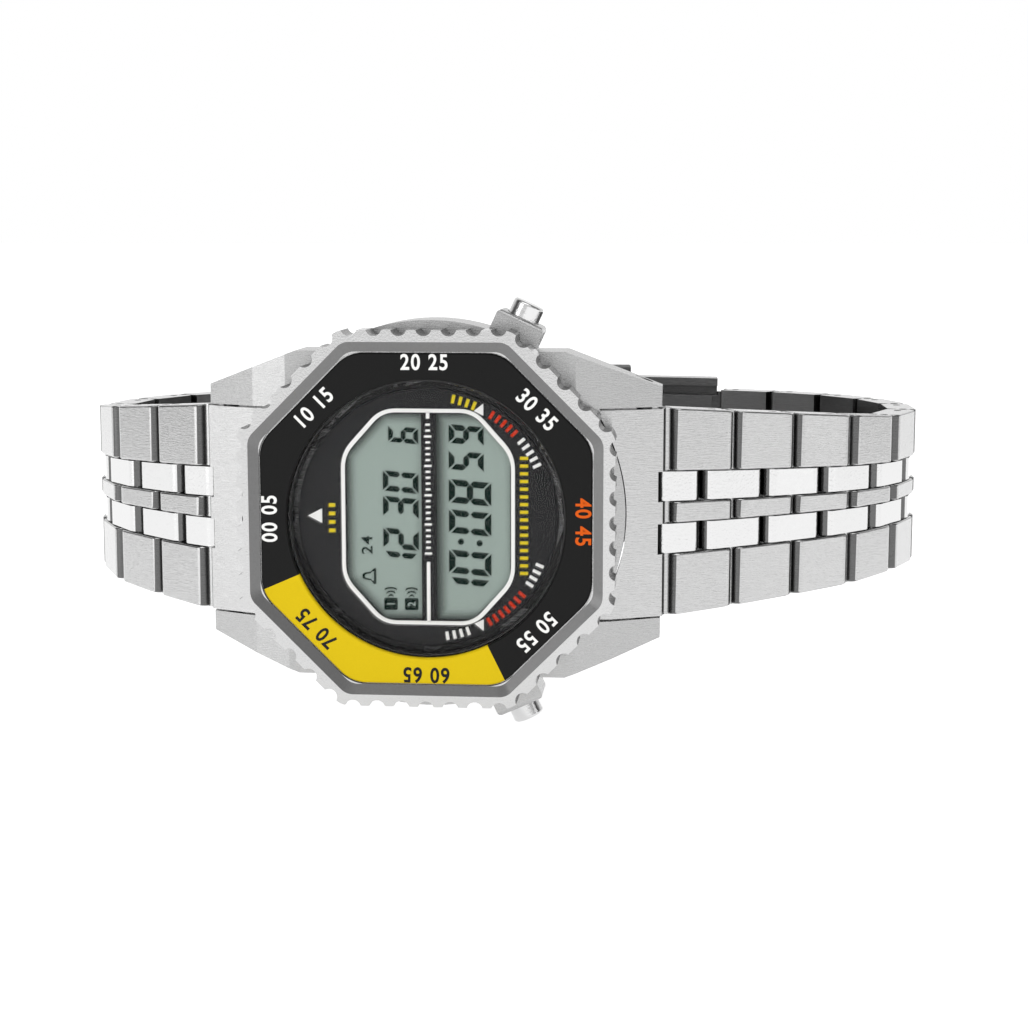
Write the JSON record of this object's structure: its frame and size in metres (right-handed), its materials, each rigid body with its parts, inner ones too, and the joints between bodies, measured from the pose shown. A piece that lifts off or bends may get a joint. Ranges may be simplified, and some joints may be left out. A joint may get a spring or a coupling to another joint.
{
  "type": "digital wristwatch",
  "caption": "Digital wristwatch with an octagonal turning mode bezel, two side pushers and a closed five-row link bracelet with a fold-over clasp.",
  "frame": {"origin": "centre of the flat outer face of the case back", "axes": "+X from 12 to 6 o'clock, -Y out of the dial, +Z towards 3 o'clock: the watch stands on its 9 o'clock side with the bracelet loop behind it"},
  "size_m": [0.0865, 0.0595, 0.0406],
  "materials": {
    "case_steel": "fine diagonal and straight brushing, polished edges",
    "bezel_steel": "satin top face, fluted edge",
    "link_steel": "brushed outer and centre rows with polished rows between",
    "polished_steel": "mirror polish",
    "inner_steel": "plain machined",
    "insert_black": "matt black with a yellow sector and white marks",
    "glass_clear": "clear flat crystal",
    "lcd_green": "grey-green liquid crystal cell with dark segments",
    "dial_black": "gloss black print mask",
    "white_plastic": "light guide",
    "grey_plastic": "moulded module frame",
    "board_green": "glass-fibre board",
    "rubber_black": "moulded seal",
    "brass_plain": "stamped disc"
  },
  "bodies": {
    "head": {"backlight_panel": "white_plastic", "battery": "inner_steel", "battery_clip": "inner_steel", "bezel_click_spring": "inner_steel", "buzzer_disc": "brass_plain", "case_back": "case_steel", "case_back_gasket": "rubber_black", "case_middle": "case_steel", "circuit_board": "board_green", "crystal": "glass_clear", "crystal_gasket": "rubber_black", "dial_mask": "dial_black", "end_link_12": "link_steel", "end_link_6": "link_steel", "lcd_connectors": "rubber_black", "lcd_panel": "lcd_green", "module_frame": "grey_plastic", "pusher_tubes": "inner_steel", "spring_bars": "inner_steel"},
    "bezel": {"bezel_ring": "bezel_steel", "bezel_insert": "insert_black"},
    "pusher_4": {"pusher_4": "polished_steel"},
    "pusher_8": {"pusher_8": "polished_steel"},
    "link_12_01": {"link_12_01": "link_steel"},
    "link_12_02": {"link_12_02": "link_steel"},
    "link_12_03": {"link_12_03": "link_steel"},
    "link_12_04": {"link_12_04": "link_steel"},
    "link_12_05": {"link_12_05": "link_steel"},
    "link_12_06": {"link_12_06": "link_steel"},
    "link_12_07": {"link_12_07": "link_steel"},
    "link_12_08": {"link_12_08": "link_steel"},
    "link_12_09": {"link_12_09": "link_steel"},
    "link_12_10": {"link_12_10": "link_steel"},
    "link_6_01": {"link_6_01": "link_steel"},
    "link_6_02": {"link_6_02": "link_steel"},
    "link_6_03": {"link_6_03": "link_steel"},
    "link_6_04": {"link_6_04": "link_steel"},
    "link_6_05": {"link_6_05": "link_steel"},
    "link_6_06": {"link_6_06": "link_steel"},
    "link_6_07": {"link_6_07": "link_steel"},
    "link_6_08": {"link_6_08": "link_steel"},
    "link_6_09": {"link_6_09": "link_steel"},
    "link_6_10": {"link_6_10": "link_steel"},
    "clasp_inner_blade": {"clasp_inner_blade": "inner_steel"},
    "clasp_middle_blade": {"clasp_middle_blade": "inner_steel"},
    "clasp_cover": {"clasp_cover": "case_steel"},
    "clasp_button_3": {"clasp_button_3": "polished_steel"},
    "clasp_button_9": {"clasp_button_9": "polished_steel"}
  },
  "joints": [
    {"name": "bezel_turn", "type": "hinge", "parent": "head", "child": "bezel", "pos_m": [0, -0.0104, 0], "axis": [0, -1, 0], "continuous": true},
    {"name": "pusher_4_press", "type": "slide", "parent": "head", "child": "pusher_4", "axis": [-0.4226, 0, -0.9063], "range_m": [0, 0.0008], "stiffness_N_per_m": 2500, "springref_m": -0.001},
    {"name": "pusher_8_press", "type": "slide", "parent": "head", "child": "pusher_8", "axis": [-0.4226, 0, 0.9063], "range_m": [0, 0.0008], "stiffness_N_per_m": 2500, "springref_m": -0.001},
    {"name": "link_6_01_bend", "type": "hinge", "parent": "head", "child": "link_6_01", "pos_m": [0.02195, -0.002, 0], "axis": [0, 0, 1], "range_deg": [-10, 0]},
    {"name": "link_6_02_bend", "type": "hinge", "parent": "link_6_01", "child": "link_6_02", "pos_m": [0.02801, 0.00109, 0], "axis": [0, 0, 1], "range_deg": [-7, 0]},
    {"name": "link_6_03_bend", "type": "hinge", "parent": "link_6_02", "child": "link_6_03", "pos_m": [0.03384, 0.00459, 0], "axis": [0, 0, 1], "range_deg": [-6, 0]},
    {"name": "link_6_04_bend", "type": "hinge", "parent": "link_6_03", "child": "link_6_04", "pos_m": [0.03948, 0.00839, 0], "axis": [0, 0, 1], "range_deg": [-19, 0]},
    {"name": "link_6_05_bend", "type": "hinge", "parent": "link_6_04", "child": "link_6_05", "pos_m": [0.04385, 0.0136, 0], "axis": [0, 0, 1], "range_deg": [-21, 0]},
    {"name": "link_6_06_bend", "type": "hinge", "parent": "link_6_05", "child": "link_6_06", "pos_m": [0.04639, 0.01991, 0], "axis": [0, 0, 1], "range_deg": [-27, 0]},
    {"name": "link_6_07_bend", "type": "hinge", "parent": "link_6_06", "child": "link_6_07", "pos_m": [0.04616, 0.0267, 0], "axis": [0, 0, 1], "range_deg": [-21, 0]},
    {"name": "link_6_08_bend", "type": "hinge", "parent": "link_6_07", "child": "link_6_08", "pos_m": [0.04383, 0.03309, 0], "axis": [0, 0, 1], "range_deg": [-21, 0]},
    {"name": "link_6_09_bend", "type": "hinge", "parent": "link_6_08", "child": "link_6_09", "pos_m": [0.03964, 0.03845, 0], "axis": [0, 0, 1], "range_deg": [-20, 0]},
    {"name": "link_6_10_bend", "type": "hinge", "parent": "link_6_09", "child": "link_6_10", "pos_m": [0.03407, 0.04235, 0], "axis": [0, 0, 1], "range_deg": [-18, 0]},
    {"name": "link_12_01_bend", "type": "hinge", "parent": "head", "child": "link_12_01", "pos_m": [-0.02195, -0.002, 0], "axis": [0, 0, -1], "range_deg": [-18, 0]},
    {"name": "link_12_02_bend", "type": "hinge", "parent": "link_12_01", "child": "link_12_02", "pos_m": [-0.02752, 0.0019, 0], "axis": [0, 0, -1], "range_deg": [-9, 0]},
    {"name": "link_12_03_bend", "type": "hinge", "parent": "link_12_02", "child": "link_12_03", "pos_m": [-0.03265, 0.00636, 0], "axis": [0, 0, -1], "range_deg": [-23, 0]},
    {"name": "link_12_04_bend", "type": "hinge", "parent": "link_12_03", "child": "link_12_04", "pos_m": [-0.03595, 0.01231, 0], "axis": [0, 0, -1], "range_deg": [-21.5, 0]},
    {"name": "link_12_05_bend", "type": "hinge", "parent": "link_12_04", "child": "link_12_05", "pos_m": [-0.03719, 0.019, 0], "axis": [0, 0, -1], "range_deg": [-20.5, 0]},
    {"name": "link_12_06_bend", "type": "hinge", "parent": "link_12_05", "child": "link_12_06", "pos_m": [-0.03636, 0.02574, 0], "axis": [0, 0, -1], "range_deg": [-22, 0]},
    {"name": "link_12_07_bend", "type": "hinge", "parent": "link_12_06", "child": "link_12_07", "pos_m": [-0.03338, 0.03186, 0], "axis": [0, 0, -1], "range_deg": [-22, 0]},
    {"name": "link_12_08_bend", "type": "hinge", "parent": "link_12_07", "child": "link_12_08", "pos_m": [-0.02857, 0.03666, 0], "axis": [0, 0, -1], "range_deg": [-16, 0]},
    {"name": "link_12_09_bend", "type": "hinge", "parent": "link_12_08", "child": "link_12_09", "pos_m": [-0.0228, 0.04027, 0], "axis": [0, 0, -1], "range_deg": [-15, 0]},
    {"name": "link_12_10_bend", "type": "hinge", "parent": "link_12_09", "child": "link_12_10", "pos_m": [-0.01641, 0.04259, 0], "axis": [0, 0, -1], "range_deg": [-10, 0]},
    {"name": "clasp_inner_hinge", "type": "hinge", "parent": "link_6_10", "child": "clasp_inner_blade", "pos_m": [0.02768, 0.04468, 0], "axis": [0, 0, 1], "range_deg": [-23.85, 0]},
    {"name": "clasp_middle_fold", "type": "hinge", "parent": "clasp_inner_blade", "child": "clasp_middle_blade", "pos_m": [-0.0038, 0.04527, 0], "axis": [0, 0, 1], "range_deg": [0, 84]},
    {"name": "clasp_cover_fold", "type": "hinge", "parent": "clasp_middle_blade", "child": "clasp_cover", "pos_m": [0.02346, 0.04631, 0], "axis": [0, 0, -1], "range_deg": [0, 105]},
    {"name": "clasp_button_3_press", "type": "slide", "parent": "clasp_cover", "child": "clasp_button_3", "axis": [0, 0, -1], "range_m": [0, 0.0007], "stiffness_N_per_m": 3000, "springref_m": -0.001},
    {"name": "clasp_button_9_press", "type": "slide", "parent": "clasp_cover", "child": "clasp_button_9", "axis": [0, 0, 1], "range_m": [0, 0.0007], "stiffness_N_per_m": 3000, "springref_m": -0.001}
  ],
  "couplings": [
    {"joint": "clasp_middle_fold", "follows": "clasp_cover_fold", "ratio": 0.8}
  ]
}
